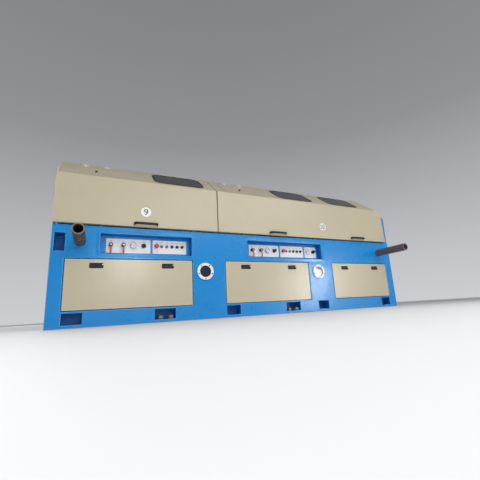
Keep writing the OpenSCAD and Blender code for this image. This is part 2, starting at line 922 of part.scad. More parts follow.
// Fixed leaves, outer knuckles and pins of a flap's two hinges
module flap_hinges(x) {
    for (h = [flap_hinge_in, flap_w - flap_hinge_in]) on_slope(x + h, axis_s) {
        span([-25, 0, 0], [25, 26, 3]);
        for (side = [-1, 1]) {
            x0 = side * 18 - 7;
            translate([x0, 0, axis_n]) rotate([0, 90, 0]) cylinder(r = 6, h = 14);
            span([x0, 0, 0], [x0 + 14, 6, axis_n]);
        }
        translate([-20, 0, axis_n]) rotate([0, 90, 0]) cylinder(r = 3, h = 40);
    }
}

// Flap sheet lying on the slope, with the middle knuckles of its hinges
module flap(x) {
    difference() {
        union() {
            on_slope(x + flap_w / 2, flap_s + flap_l / 2) translate([0, 0, seat_gap])
                linear_extrude(hood_t) round_rect(flap_w, flap_l, 10);
            for (h = [flap_hinge_in, flap_w - flap_hinge_in]) on_slope(x + h, axis_s) {
                translate([-10, 0, axis_n]) rotate([0, 90, 0]) cylinder(r = 6, h = 20);
                span([-10, -34, hood_t], [10, -9, hood_t + 3]);
                span([-10, -13, hood_t], [10, -4, axis_n + 3]);
            }
        }
        for (h = [flap_hinge_in, flap_w - flap_hinge_in]) on_slope(x + h, axis_s)
            translate([-11, 0, axis_n]) rotate([0, 90, 0]) cylinder(r = 3 + run_gap, h = 22);
    }
}

module flap_knob(x) {
    on_slope(x + flap_w / 2, flap_s + 80) translate([0, 0, hood_t + seat_gap]) {
        cylinder(r = 9, h = 12);
        translate([0, 0, 11]) cylinder(r = 14, h = 12);
    }
}

module flap_hinges_9() { color("silver") seat() flap_hinges(flap_x[0]); }
module flap_hinges_10() { color("silver") seat() flap_hinges(flap_x[1]); }
module flap_9() { color(cream) seat() flap(flap_x[0]); }
module flap_10() { color(cream) seat() flap(flap_x[1]); }
module flap_knob_9() { color(black) seat() flap_knob(flap_x[0]); }
module flap_knob_10() { color(black) seat() flap_knob(flap_x[1]); }

base_plate();
front_plate();
rear_plate();
end_plates();
deck_plate();
outlet_wall();
rear_wall();
front_covers();
rear_covers();
cover_latches();
control_recesses();
control_plates();
pressure_gauges();
control_knobs();
start_buttons();
stop_buttons();
valve_hubs();
valve_lever_9a();
valve_lever_9b();
valve_lever_10a();
valve_lever_10b();
port_flanges();
port_glasses();
lifting_pipes();
anchor_nuts();
hood_buffers();
drawing_blocks();
die_boxes();
guide_pulley();
hood_9();
window_9();
gasket_9();
handle_9();
number_disc_9();
flap_hinges_9();
flap_9();
flap_knob_9();
hood_10();
windows_10();
gaskets_10();
handles_10();
number_disc_10();
flap_hinges_10();
flap_10();
flap_knob_10();
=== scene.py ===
"""A two-station wire drawing machine section: a blue welded bed with cream covers and hoods.

Lengths are millimetres from the bed's left front corner on the floor, as on a shop drawing.
"""
import math

import bmesh
import bpy
from mathutils import Matrix, Vector


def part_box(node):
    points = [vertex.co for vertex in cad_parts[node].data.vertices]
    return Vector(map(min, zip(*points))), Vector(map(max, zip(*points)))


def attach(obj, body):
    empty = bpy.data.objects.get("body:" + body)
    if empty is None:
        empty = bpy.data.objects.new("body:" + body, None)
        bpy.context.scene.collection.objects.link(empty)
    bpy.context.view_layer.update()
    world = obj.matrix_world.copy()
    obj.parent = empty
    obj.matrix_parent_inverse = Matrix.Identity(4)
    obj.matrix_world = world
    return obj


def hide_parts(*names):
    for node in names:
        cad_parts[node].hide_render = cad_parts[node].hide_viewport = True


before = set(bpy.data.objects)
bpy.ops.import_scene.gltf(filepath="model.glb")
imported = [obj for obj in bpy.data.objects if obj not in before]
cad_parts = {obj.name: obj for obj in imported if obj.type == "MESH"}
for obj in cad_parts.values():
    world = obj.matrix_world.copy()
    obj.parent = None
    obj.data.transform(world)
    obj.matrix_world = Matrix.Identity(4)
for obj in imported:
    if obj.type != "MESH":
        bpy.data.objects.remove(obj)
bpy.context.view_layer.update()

# Camera and studio
# The photograph was taken from low down near the left end, looking up along the machine. The
# studio has a pale floor, a grey surround, broad lamps in front, at the side, over the floor and
# behind, and two white cards that show in reflections alone.

scene = bpy.context.scene
lens = bpy.data.cameras.new("photo_lens")
lens.sensor_width = 36
lens.lens = 23.04
lens.shift_x = -.0169
lens.shift_y = -.0008
lens.clip_end = 200
camera = bpy.data.objects.new("photo_view", lens)
camera_right = Vector((.895535, -.441157, -.058272))
camera_up = Vector((-.047586, -.225141, .973163))
camera_turn = Matrix((camera_right, camera_up, camera_right.cross(camera_up))).transposed()
camera.matrix_world = Matrix.Translation((-1.6653, -3.4533, .0612)) @ camera_turn.to_4x4()
scene.collection.objects.link(camera)
scene.camera = camera
scene.view_settings.view_transform = "Standard"


def hang_lamp(name, place, target, size, power, spread=180, roll=0, matt=True):
    """An area lamp; one that isn't matt shows in reflections alone, as a white card does."""
    lamp = bpy.data.lights.new(name, "AREA")
    lamp.shape = "RECTANGLE"
    lamp.size, lamp.size_y = size
    lamp.energy = power
    lamp.spread = math.radians(spread)
    stand = bpy.data.objects.new(name, lamp)
    aim = (Vector(target) - Vector(place)).to_track_quat("-Z", "Y")
    stand.matrix_world = (Matrix.Translation(place) @ aim.to_matrix().to_4x4()
                          @ Matrix.Rotation(math.radians(roll), 4, "Z"))
    stand.visible_camera = False
    stand.visible_diffuse = matt
    scene.collection.objects.link(stand)


hang_lamp("broad_lamp", (2.9, -8, 3.9), (.6, 0, .9), (6.5, 1), power=132)
hang_lamp("side_lamp", (15, -8, 2), (0, 0, .8), (4, 3), power=12)
hang_lamp("floor_lamp", (-.7, -4.2, 4.6), (-.7, -4.4, 0), (9, 3), power=216, spread=125)
hang_lamp("tall_lamp", (3.05, -3.62, .5), (1, -.55, .3), (.6, 1.05), power=46, roll=-20, matt=False)
hang_lamp("card_lamp", (-1.1, -3.62, 1), (-1.4, -.55, .5), (.22, .5), power=19, roll=-40, matt=False)
hang_lamp("back_lamp", (-4.2, 6.4, 4.4), (0, 0, .8), (5, 3), power=220)


class Wire:
    """A value that runs from node to node inside a material."""

    def __init__(self, tree, socket):
        self.tree = tree
        self.socket = socket

    def node(self, kind, settings, sockets, out=0):
        """Any node: its settings come first, then the values or links of its sockets."""
        made = self.tree.nodes.new("ShaderNode" + kind)
        for key, value in settings.items():
            if key == "stops":
                ramp = made.color_ramp
                for spot, colour in value[1:-1]:
                    ramp.elements.new(spot)
                for element, (spot, colour) in zip(ramp.elements, value):
                    element.position = spot
                    element.color = (*colour, 1)
            else:
                setattr(made, key, value)
        for key, value in sockets.items():
            if isinstance(value, Wire):
                self.tree.links.new(value.socket, made.inputs[key])
            else:
                made.inputs[key].default_value = value
        return Wire(self.tree, made.outputs[out])

    def maths(self, operation, first, second):
        return self.node("Math", {"operation": operation}, {0: first, 1: second})

    def __add__(self, other):
        return self.maths("ADD", self, other)

    __radd__ = __add__

    def __mul__(self, other):
        return self.maths("MULTIPLY", self, other)

    __rmul__ = __mul__

    def __rsub__(self, other):
        return self.maths("SUBTRACT", other, self)

    def band(self, low, high):
        """0 below low and 1 above high, with a soft step between them."""
        return self.node("MapRange", {"interpolation_type": "SMOOTHSTEP"},
                         {"Value": self, "From Min": low, "From Max": high})

    def blend(self, first, second):
        """The first colour where this is 0 and the second where it is 1."""
        first, second = (c if isinstance(c, Wire) else (*c, 1) for c in (first, second))
        return self.node("Mix", {"data_type": "RGBA"}, {0: self, 6: first, 7: second}, 2)

    def cloud(self, size, detail=2, rough=.5, stretch=(1, 1, 1), shift=(0, 0, 0)):
        """Soft noise over a place, its lumps about size metres long."""
        place = self.node("Mapping", {"vector_type": "POINT"},
                          {"Vector": self, "Scale": stretch, "Location": shift})
        return self.node("TexNoise", {}, {"Vector": place, "Scale": 1 / size,
                                          "Detail": detail, "Roughness": rough})

    def along(self, axis):
        return self.node("SeparateXYZ", {}, {0: self}, "XYZ".index(axis))

    def dent(self, height, depth, below=None):
        """A normal from a height between 0 and 1 that is depth metres high."""
        sockets = {"Strength": 1, "Distance": depth, "Height": height}
        if below is not None:
            sockets["Normal"] = below
        return self.node("Bump", {}, sockets)


surround = bpy.data.worlds.new("studio_surround")
surround.use_nodes = True
sky = surround.node_tree
outward = Wire(sky, sky.nodes.new("ShaderNodeTexCoord").outputs["Generated"])
sweep = outward.node("ValToRGB", {"stops": [(0, (.60, .61, .63)), (.12, (.54, .55, .57)),
                                            (.5, (.28, .285, .30)), (1, (.18, .185, .195))]},
                     {0: outward.along("Z")})
sky.links.new(sweep.socket, sky.nodes["Background"].inputs["Color"])
scene.world = surround


def mix_paint(name, shade):
    """A material whose shade function returns the values of its shader's sockets."""
    paint = bpy.data.materials.new(name)
    paint.use_nodes = True
    tree = paint.node_tree
    shader = tree.nodes["Principled BSDF"]
    spots = tree.nodes.new("ShaderNodeTexCoord")
    for socket, value in shade(Wire(tree, spots.outputs["Object"])).items():
        if isinstance(value, Wire):
            tree.links.new(value.socket, shader.inputs[socket])
        elif isinstance(value, tuple):
            shader.inputs[socket].default_value = (*value, 1)
        else:
            shader.inputs[socket].default_value = value
    return paint


def floor_shade(spot):
    wear = spot.cloud(2.5, 4)
    # The floor glows more the further out it lies: a painted glow that lights the far floor.
    far = spot.node("VectorMath", {"operation": "LENGTH"}, {0: spot}, 1).band(5, 32)
    return {"Base Color": wear.blend((.60, .605, .61), (.66, .662, .665)),
            "Emission Color": far.blend((.03, .03, .03), (.40, .405, .42)), "Emission Strength": 1,
            "Roughness": .55 + .2 * wear, "Normal": spot.dent(spot.cloud(.02, 3), .0004)}


floor_form = bmesh.new()
bmesh.ops.create_circle(floor_form, cap_ends=True, segments=96, radius=40)
floor_mesh = bpy.data.meshes.new("studio_floor")
floor_form.to_mesh(floor_mesh)
floor_form.free()
floor_mesh.materials.append(mix_paint("floor_screed", floor_shade))
studio_floor = bpy.data.objects.new("studio_floor", floor_mesh)
studio_floor.location.z = -.001
scene.collection.objects.link(studio_floor)

# Bed shell
# A closed box welded from steel plate and painted glossy blue, 4 m long. Its skins have rounded
# edges, and openings for covers, anchor bolts, a hand, two ports, two pipes and the controls.

BED_L, BED_D, BED_H = ((high - low) * 1000 for low, high in zip(*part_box("base_plate")))
BED_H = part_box("deck_plate")[1].z * 1000
ROW = Matrix.Scale(.001, 4) @ Matrix.Translation((-BED_L / 2, -BED_D / 2, 0))
ABOUT = Matrix.Translation((BED_L, BED_D, 0)) @ Matrix.Rotation(math.pi, 4, "Z")
SIDES = {"front": ROW, "rear": ROW @ ABOUT}


def reach(node, axis):
    """How far a node reaches along an axis, from and to, in millimetres from the bed's corner."""
    middle = {"x": BED_L / 2, "y": BED_D / 2, "z": 0}[axis]
    return [getattr(corner, axis) * 1000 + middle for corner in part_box(node)]


def columns(*numbers):
    """Places along the machine, counted in fortieths of its length."""
    return [BED_L / 40 * number for number in numbers]


def upright(x, y, z, side="front"):
    """A workpiece lying against the skin: its X to the right, its Y up and its Z outwards."""
    return SIDES[side] @ Matrix.Translation((x, y, z)) @ Matrix.Rotation(math.pi / 2, 4, "X")


def level(x, y, z):
    """A workpiece standing on the floor or deck."""
    return ROW @ Matrix.Translation((x, y, z))


def outline(width, height, radius, bend=5, middle=(0, 0)):
    """The points round a rectangle with round corners."""
    radius = min(radius, width / 2, height / 2)
    points = []
    for corner, (across, up) in enumerate(((1, 1), (-1, 1), (-1, -1), (1, -1))):
        for step in range(bend + 1):
            angle = math.pi / 2 * (corner + step / bend)
            point = (middle[0] + across * (width / 2 - radius) + radius * math.cos(angle),
                     middle[1] + up * (height / 2 - radius) + radius * math.sin(angle))
            if not points or math.dist(point, points[-1]) > .005:
                points.append(point)
    if math.dist(points[0], points[-1]) < .005:
        points.pop()
    return points


def corners(form, where, loops):
    """Rows of a form's corners, one row for each loop of points."""
    return [[form.verts.new(where @ Vector(point)) for point in loop] for loop in loops]


def clad(form, low, high, coat):
    """A band of faces between two rows of corners."""
    for i in range(len(low)):
        j = (i + 1) % len(low)
        form.faces.new((low[i], low[j], high[j], high[i])).material_index = coat


def skin(form, where, loops, coat=0, ring=False):
    """Plates a form over loops of points, with its ends closed unless it is a ring."""
    rows = corners(form, where, loops)
    for low, high in zip(rows, rows[1:] + rows[:1] if ring else rows[1:]):
        clad(form, low, high, coat)
    if not ring:
        form.faces.new(rows[0][::-1]).material_index = coat
        form.faces.new(rows[-1]).material_index = coat


def stepped(width, height, radius, steps, bend=5, middle=(0, 0)):
    """Loops with round corners: each step is how far in from the edge one lies, and its height."""
    return [[(u, v, up) for u, v in outline(width - 2 * inset, height - 2 * inset,
                                            max(radius - inset, .3), bend, middle)]
            for inset, up in steps]


def plate(form, where, width, height, radius, steps, coat=0, ring=False, middle=(0, 0), bend=5):
    """A block or frame with round corners and stepped sides."""
    skin(form, where, stepped(width, height, radius, steps, bend, middle), coat, ring)


def turn(form, where, steps, sides=40, coat=0, ring=False):
    """A turned part: each step is its radius and height."""
    corner = 2 * math.pi / sides
    skin(form, where, [[(radius * math.cos(k * corner), radius * math.sin(k * corner), up)
                        for k in range(sides)] for radius, up in steps], coat, ring)


def cut_sheet(form, where, border, holes, thick, edge=3, coat=0, rim=0):
    """A flat sheet with holes, each a (x, y, width, height, radius), and all its edges rounded."""
    # The rounded edge bands take the coat rim, which the callers set to a painted highlight.
    steps = [(edge, 0), (edge * .62, -edge * .08), (edge * .29, -edge * .29),
             (edge * .08, -edge * .62), (0, -edge), (0, -thick)]
    rims = []
    for side, (x, y, width, height, radius) in [(1, border)] + [(-1, hole) for hole in holes]:
        sunk = [(side * inset, up) for inset, up in steps]
        rows = corners(form, where, stepped(width, height, radius, sunk, middle=(x, y)))
        for low, high in zip(rows, rows[1:]):
            clad(form, low, high, coat if high is rows[-1] else rim)
        rims.append(rows)
    for row in (0, -1):
        edges = [form.edges.get((rows[row][i], rows[row][i - 1]))
                 for rows in rims for i in range(len(rows[row]))]
        made = bmesh.ops.triangle_fill(form, use_beauty=True, use_dissolve=False, edges=edges)
        for item in made["geom"]:
            if isinstance(item, bmesh.types.BMFace):
                item.material_index = coat


def seat(name, form, body, coats, replaces=None, smooth=38, shape=None):
    """Ends a piece: shaded, painted, put on its body and, by itself, in place of its own CAD node."""
    bmesh.ops.recalc_face_normals(form, faces=form.faces)
    mesh = bpy.data.meshes.new(name)
    form.to_mesh(mesh)
    form.free()
    mesh.polygons.foreach_set("use_smooth", [True] * len(mesh.polygons))
    if smooth:
        mesh.set_sharp_from_angle(angle=math.radians(smooth))
    for coat in coats:
        mesh.materials.append(coat)
    piece = bpy.data.objects.new(name, mesh)
    scene.collection.objects.link(piece)
    if shape:
        shape(piece)
    even = piece.modifiers.new("even_shading", "WEIGHTED_NORMAL")
    even.keep_sharp = True
    even.weight = 100
    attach(piece, body)
    replaces = [name] if replaces is None else replaces
    if replaces:
        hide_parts(*replaces)


def blue_shade(spot):
    drift = spot.cloud(1.1, 2)
    mottle = spot.cloud(.16, 3)
    height = spot.along("Z")
    dust = (1 - height.band(.02, .35)) * spot.cloud(.12, 5, .6).band(.3, .9)
    chips = (1 - height.band(.001, .014)) * spot.cloud(.022, 3, .6).band(.62, .67)
    base = drift.blend((.002, .242, .645), (.007, .287, .715))
    base = (.10 * dust).blend(base, (.22, .30, .38))
    base = chips.blend(base, (.42, .36, .30))
    normal = spot.dent(spot.cloud(.007, 1), .00006, spot.dent(spot.cloud(.5, 1), .0012))
    return {"Base Color": base, "Roughness": .22 + .10 * mottle + .18 * dust + .3 * chips,
            "Normal": normal, "Specular IOR Level": .32, "Coat Weight": .10 - .10 * chips,
            "Coat Roughness": .06}


def patchy_paint(name, low, high, patch, dull, grain, depth, metal=0, shine=.5):
    """A finish between two colours in patches, duller towards the second, over a fine grain."""
    def shade(spot):
        share = spot.cloud(*patch)
        return {"Base Color": share.blend(low, high), "Roughness": dull[0] + dull[1] * share,
                "Metallic": metal, "Specular IOR Level": shine,
                "Normal": spot.dent(spot.cloud(*grain), depth)}
    return mix_paint(name, shade)


def edge_highlight_paint(name, low, high):
    """Paint a little brighter along a rounded edge: a painted highlight."""
    return patchy_paint(name, low, high, (.07, 4, .6), (.22, .14), (.006, 1), .00005)


blue_paint = mix_paint("blue_gloss_paint", blue_shade)
# A lighter blue on the rounded edges round the skin's openings: a painted highlight.
blue_edge_highlight = edge_highlight_paint("blue_painted_edge_highlight", (.025, .33, .76), (.09, .45, .88))
# A darker blue for the walls inside the pocket boxes and control trays: painted shade.
shade_painted_blue = patchy_paint(
    "blue_painted_shade_inside", (.006, .130, .41), (.012, .190, .57), (.05, 4, .6), (.35, .25), (.006, 2),
    .00012, shine=.28)

skin_thick, end_thick, deck_thick, base_thick = 10, 12, 16, 20
cover_left = columns(1.10, 15.39, 29.53)
cover_right = columns(11.85, 25.87, 38.85)
cover_low, cover_high = reach("front_covers", "z")
cover_gap = 8
pocket_left = columns(1.10, 8.35, 15.35, 22.39, 26.87, 37.27)
pocket_wide = [150, 188, 150, 188, 150, 150]
pocket_low, pocket_high, pocket_radius = 24, 116, 4
box_deep = 105
port_x = columns(13.17, 27.28)
port_z = 457
port_bore = 112
pipe_x = columns(2.12, 37.74)
pipe_z = 712
pipe_across = 89
recess_left = columns(3.67, 18.03)
recess_wide = [817, 1001]
recess_low, recess_high = BED_H - 246, BED_H - 64


def rectangle(left, right, low, high, radius):
    return (left + right) / 2, (low + high) / 2, right - left, high - low, radius


def open_box(form, side, hole, thick=4):
    """A box welded behind a hole of the skin, open to the front, its walls in painted shade."""
    x, z, width, height, radius = hole
    steps = [(0, -6), (0, -box_deep), (-thick, -box_deep - thick), (-thick, -8)]
    loops = [[(u, v, up) for u, v in outline(width - 2 * inset, height - 2 * inset, radius)]
             for inset, up in steps]
    rows = corners(form, upright(x, 0, z, side), loops)
    form.faces.new(rows[1]).material_index = 1
    form.faces.new(rows[2]).material_index = 1
    for low, high in ((0, 1), (2, 3), (3, 0)):
        clad(form, rows[low], rows[high], 1)


pockets = [rectangle(left, left + wide, pocket_low, pocket_high, pocket_radius)
           for left, wide in zip(pocket_left, pocket_wide)]
hand_hole = rectangle(22, 100, 627, 782, pocket_radius)
cover_holes = [rectangle(left - cover_gap, right + cover_gap, cover_low - cover_gap,
                         cover_high + cover_gap, 6)
               for left, right in zip(cover_left, cover_right)]
recess_holes = [rectangle(left - 4, left + wide + 4, recess_low - 4, recess_high + 4, 5)
                for left, wide in zip(recess_left, recess_wide)]
port_holes = [(x, port_z, port_bore, port_bore, port_bore / 2) for x in port_x]
pipe_holes = [(x, pipe_z, pipe_across + .6, pipe_across + .6, pipe_across / 2 + .3)
              for x in pipe_x]
whole = rectangle(0, BED_L, 0, BED_H, 4)

bed_form = bmesh.new()
cut_sheet(bed_form, upright(0, 0, 0), whole,
          pockets + [hand_hole] + cover_holes + recess_holes + port_holes + pipe_holes,
          skin_thick, edge=4, rim=2)
rear_pipes = [(BED_L - x, *rest) for x, *rest in pipe_holes]
cut_sheet(bed_form, upright(0, 0, 0, "rear"), whole, pockets + cover_holes + rear_pipes,
          skin_thick, edge=4, rim=2)
for side, boxes in (("front", pockets + [hand_hole]), ("rear", pockets)):
    for hole in boxes:
        open_box(bed_form, side, hole)
    for x, z, width, height, radius in cover_holes:
        plate(bed_form, upright(x, 0, z, side), width, height, radius,
              [(0, -10), (0, -24), (33, -24), (33, -30), (-6, -30), (-6, -10)], ring=True)
inner_right = BED_L - end_thick
for left, right, low, high in ((0, end_thick, 0, BED_H), (inner_right, BED_L, 0, BED_H),
                               (end_thick, inner_right, BED_H - deck_thick, BED_H),
                               (end_thick, inner_right, 0, base_thick)):
    plate(bed_form, level((left + right) / 2, BED_D / 2, low), right - left,
          BED_D - 2 * skin_thick, .3, [(0, 0), (0, high - low)], bend=1)
seat("bed_shell", bed_form, "bed", [blue_paint, shade_painted_blue, blue_edge_highlight],
     ["base_plate", "front_plate", "rear_plate", "end_plates", "deck_plate"])

# Lower covers
# Flush lift-off covers of 3 mm sheet, folded back at their edges and powder-coated cream, three
# on each side. Each hangs in its rebate and is held by two latches.


def cream_shade(spot):
    drift = spot.cloud(.9, 2)
    mottle = spot.cloud(.12, 4, .6)
    base = drift.blend((.560, .492, .338), (.605, .532, .376))
    base = (.3 * mottle.band(.5, .8)).blend(base, (.50, .44, .31))
    fine = spot.cloud(.004, 1)
    sway = spot.cloud(.42, 1, stretch=(1, 1, 1.6))
    normal = spot.dent(fine, .00006, spot.dent(sway, .0018))
    return {"Base Color": base, "Roughness": .27 + .09 * mottle, "Normal": normal}


cream_paint = mix_paint("cream_powder_coat", cream_shade)
# A lighter cream on the covers' rounded edges: a painted highlight.
cream_fold_highlight = edge_highlight_paint("cream_painted_fold_highlight", (.68, .61, .46), (.78, .72, .58))
latch_x = columns(3.46, 9.51, 17.68, 23.55, 31.52, 36.72)
latch_z = cover_high - 55
latch_wide, latch_tall, latch_radius = 112, 46, 9

for side in SIDES:
    cover_form = bmesh.new()
    for left, right in zip(cover_left, cover_right):
        latches = [(x, latch_z, latch_wide - 6, latch_tall - 6, latch_radius - 3)
                   for x in latch_x if left < x < right]
        cut_sheet(cover_form, upright(0, 0, 0, side),
                  rectangle(left, right, cover_low, cover_high, 4), latches, 4.2, edge=4, rim=1)
        plate(cover_form, upright((left + right) / 2, 0, (cover_low + cover_high) / 2, side),
              right - left, cover_high - cover_low, 4, [(0, -4.1), (0, -23.5), (3, -23.5), (3, -4.1)],
              ring=True)
    seat(side + "_covers", cover_form, "bed", [cream_paint, cream_fold_highlight])

# Cover latches
# Flush slam latches moulded in black plastic: a round-cornered frame with a finger pocket, a
# paddle that is pulled, and the steel tongue showing as a notch at the right.

black_plastic = patchy_paint(
    "black_moulding", (.005, .0055, .008), (.014, .0145, .018), (.03, 3), (.34, .16), (.0025, 2),
    .00008, shine=.27)
bright_steel = patchy_paint(
    "zinc_plated_steel", (.42, .43, .44), (.62, .62, .61), (.015, 4, .6), (.26, .25), (.001, 2),
    .00004, metal=.9)
latch_form = bmesh.new()
for side in SIDES:
    for x in latch_x:
        here = upright(x, 0, latch_z, side)
        plate(latch_form, here, latch_wide, latch_tall, latch_radius,
              [(0, .2), (.2, 1.2), (1, 1.9), (5, 2), (6, 1.6), (6.6, .6), (7, -9), (5, -9), (4, -.5)],
              ring=True)
        plate(latch_form, here, latch_wide - 12, latch_tall - 12, latch_radius - 3,
              [(0, -9), (0, -8), (.4, -7.6)])
        plate(latch_form, here, latch_wide - 36, latch_tall - 18, 5,
              [(0, -8), (0, -.8), (.5, .2), (1.4, .6), (6, .2), (9, -.4)], middle=(-9, 0))
        plate(latch_form, here, 8, 11, 1.5, [(0, -6), (0, 1.9), (.7, 2.3)], middle=(50, 9), coat=1)
seat("cover_latches", latch_form, "bed", [black_plastic, bright_steel])

# Control recesses
# Two trays of folded sheet let into the skin and painted with it, their walls in a darker blue
# that is painted shade. A wide soft roll stands 2 mm proud round each mouth.

recess_deep = 75
tray_form = bmesh.new()
for x, z, width, height, _ in recess_holes:
    here = upright(x, 0, z)
    mouth = (width - 8, height - 8, 5)
    plate(tray_form, here, *mouth,
          [(-32, .05), (-29, .2), (-20, .95), (-11, 1.75), (-8, 1.95), (-5, 1.85), (-2.4, 1.3),
           (-.7, .3), (0, -1.2), (0, -4), (-4, -4), (-4, 0)], ring=True)
    plate(tray_form, here, *mouth,
          [(0, -4), (0, -recess_deep), (-4, -recess_deep - 4), (-4, -4)], 1, ring=True)
    plate(tray_form, here, *mouth, [(-1, -recess_deep - 3), (-1, -recess_deep)])
seat("control_recesses", tray_form, "bed", [blue_paint, shade_painted_blue])

# Control plates
# White coated aluminium plates on the trays' back walls, five in all, each with a screw in
# every corner and a plain printed line over each control.


def ink_paint(name, low, high, lump, dull):
    """Flat ink, a little uneven."""
    return mix_paint(name, lambda spot: {"Base Color": spot.cloud(lump, 3).blend(low, high),
                                         "Roughness": dull})


def parts_of(node):
    """The boxes, in millimetres, of a node's separate solids from left to right."""
    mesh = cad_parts[node].data
    places = [tuple(round(c * 1e5) for c in vertex.co) for vertex in mesh.vertices]
    group = {place: place for place in places}

    def root(spot):
        while group[spot] != spot:
            group[spot] = group[group[spot]]
            spot = group[spot]
        return spot

    for edge in mesh.edges:
        first, second = (root(places[v]) for v in edge.vertices)
        group[first] = second
    solids = {}
    for spot in group:
        solids.setdefault(root(spot), []).append(spot)
    middle = Vector((BED_L / 2, BED_D / 2, 0))
    boxes = [[Vector([pick(s[i] for s in spots) / 100 for i in range(3)]) + middle
              for pick in (min, max)] for spots in solids.values()]
    return sorted(boxes, key=lambda box: box[0].x)


white_coat = patchy_paint(
    "white_coated_sheet", (.90, .893, .878), (.95, .943, .93), (.05, 4, .6), (.30, .15), (.003, 1),
    .00003)
legend_ink = ink_paint("grey_legend_ink", (.20, .20, .21), (.42, .41, .41), .002, .5)
plate_face = parts_of("control_plates")[0][0].y
plates_z = sum(corner.z for corner in parts_of("control_plates")[0]) / 2
control_z = sum(corner.z for corner in parts_of("pressure_gauges")[0]) / 2
controls = [sum(corner.x for corner in box) / 2
            for node in ("pressure_gauges", "control_knobs", "start_buttons", "stop_buttons",
                         "valve_hubs")
            for box in parts_of(node)]
screw_in, legend_up = 8, 38


def on_plates(node):
    """For each of a node's controls, its place on its plate and how far it stands out."""
    return [(upright((low.x + high.x) / 2, plate_face, control_z), high.y - low.y)
            for low, high in parts_of(node)]


panel_form = bmesh.new()
for low, high in parts_of("control_plates"):
    width, height = high.x - low.x, high.z - low.z
    here = upright((low.x + high.x) / 2, plate_face, plates_z)
    plate(panel_form, here, width, height, 3, [(0, -3), (0, -.6), (.5, 0)])
    for across in (-1, 1):
        for up in (-1, 1):
            screw = here @ Matrix.Translation((across * (width / 2 - screw_in),
                                               up * (height / 2 - screw_in), 0))
            turn(panel_form, screw, [(3.6, -.5), (3.6, .8), (2.6, 1.7), (.8, 1.9)], 14, 1)
    for x in controls:
        if low.x < x < high.x:
            plate(panel_form, upright(x, plate_face, control_z + legend_up), 26, 3.2, .8,
                  [(0, -.4), (0, .25)], 2)
seat("control_plates", panel_form, "bed", [white_coat, bright_steel, legend_ink])

# Pressure gauges
# Three round air gauges with rolled bezels, white dials, plain division marks and one needle
# under glass.


def clear_shade(spot):
    smear = spot.cloud(.03, 3)
    return {"Base Color": (.8, .82, .84), "Roughness": .04 + .12 * smear, "Alpha": .16 + .08 * smear}


gauge_bezel = patchy_paint(
    "gauge_bezel", (.50, .49, .52), (.62, .61, .63), (.02, 3), (.25, .15), (.002, 1), .00003,
    metal=.55)
gauge_glass = mix_paint("gauge_glass", clear_shade)
gauge_form = bmesh.new()
marks, needle_turn = 9, math.radians(62)
gauge_low, gauge_high = parts_of("pressure_gauges")[0]
radius = (gauge_high.x - gauge_low.x) / 2
for here, tall in on_plates("pressure_gauges"):
    turn(gauge_form, here, [(radius - 4, 0), (radius - 2, tall - 8), (radius, tall - 7),
                            (radius, tall - 2), (radius - 1.5, tall - .3), (radius - 3.5, tall),
                            (radius - 5.5, tall - 1.5), (radius - 6, tall - 5)], 48)
    turn(gauge_form, here, [(radius - 6, tall - 5), (radius - 6, tall - 4.6)], 48, 1)
    for mark in range(marks):
        tick = here @ Matrix.Rotation(math.radians(90 - mark * 270 / (marks - 1)), 4, "Z")
        plate(gauge_form, tick, .9, 4, .3, [(0, tall - 4.7), (0, tall - 4.4)], 2,
              middle=(0, radius - 10), bend=1)
    needle = here @ Matrix.Rotation(needle_turn, 4, "Z")
    plate(gauge_form, needle, 1.6, radius, .6, [(0, tall - 3.6), (0, tall - 3.2)], 3,
          middle=(0, 6), bend=1)
    turn(gauge_form, here, [(3, tall - 4.6), (3, tall - 3), (2, tall - 2.6)], 16, 3)
    turn(gauge_form, here, [(radius - 5.8, tall - 2.4), (radius - 5.8, tall - 1.8),
                            (radius - 12, tall - 1.3)], 48, 4)
seat("pressure_gauges", gauge_form, "bed",
     [gauge_bezel, white_coat, legend_ink, black_plastic, gauge_glass])

# Knobs and selector switches
# A fluted regulator knob beside each gauge, and six selector switches with short bars in black
# rings. All are black plastic.

knob_form = bmesh.new()
flutes, bar_turn = 18, math.radians(-38)
for here, tall in on_plates("control_knobs"):
    if tall > 30:
        turn(knob_form, here, [(21, 0), (21, 6.5), (19.5, 8), (17, 8.6), (17, 13), (15, 14)], 40)
        loops = []
        for radius, up in ((15.6, 14), (16, 16), (16, 33), (15, 36), (12.5, 38), (4, 38)):
            dip = .8 if 14 < up < 36 else .2
            around = [(2 * math.pi * k / flutes / 3, radius - dip * (k % 3 == 0))
                      for k in range(3 * flutes)]
            loops.append([(out * math.cos(angle), out * math.sin(angle), up)
                          for angle, out in around])
        skin(knob_form, here, loops)
    else:
        turn(knob_form, here, [(14.5, 0), (14.5, 6), (13.5, 8.2), (12, 9), (10.5, 8.4)], 36)
        bar = here @ Matrix.Rotation(bar_turn, 4, "Z")
        turn(knob_form, here, [(11, 7), (11, 12), (10, 13)], 32)
        plate(knob_form, bar, 8.5, 21.5, 3.5, [(0, 12), (0, 24), (.6, 25.4), (1.8, 26)])
        plate(knob_form, bar, 1.4, 8, .5, [(0, 25.6), (0, 26.1)], 1, middle=(0, 5), bend=1)
seat("control_knobs", knob_form, "bed", [black_plastic, white_coat])

# Push buttons
# Flat green and red start and stop buttons in grey rings, and a red mushroom button for
# emergencies at the left of each row.


def cap_paint(name, low, high):
    return patchy_paint(name, low, high, (.01, 3), (.28, .18), (.002, 1), .00003)


def push_button(form, here):
    turn(form, here, [(14.5, 0), (14.5, 6), (13.6, 8.4), (12.2, 9), (10.8, 8.2), (10.6, 5)], 36, 1)
    turn(form, here, [(10.4, 4), (10.4, 12.4), (9.6, 13.7), (8, 14), (5, 13.6)], 32)


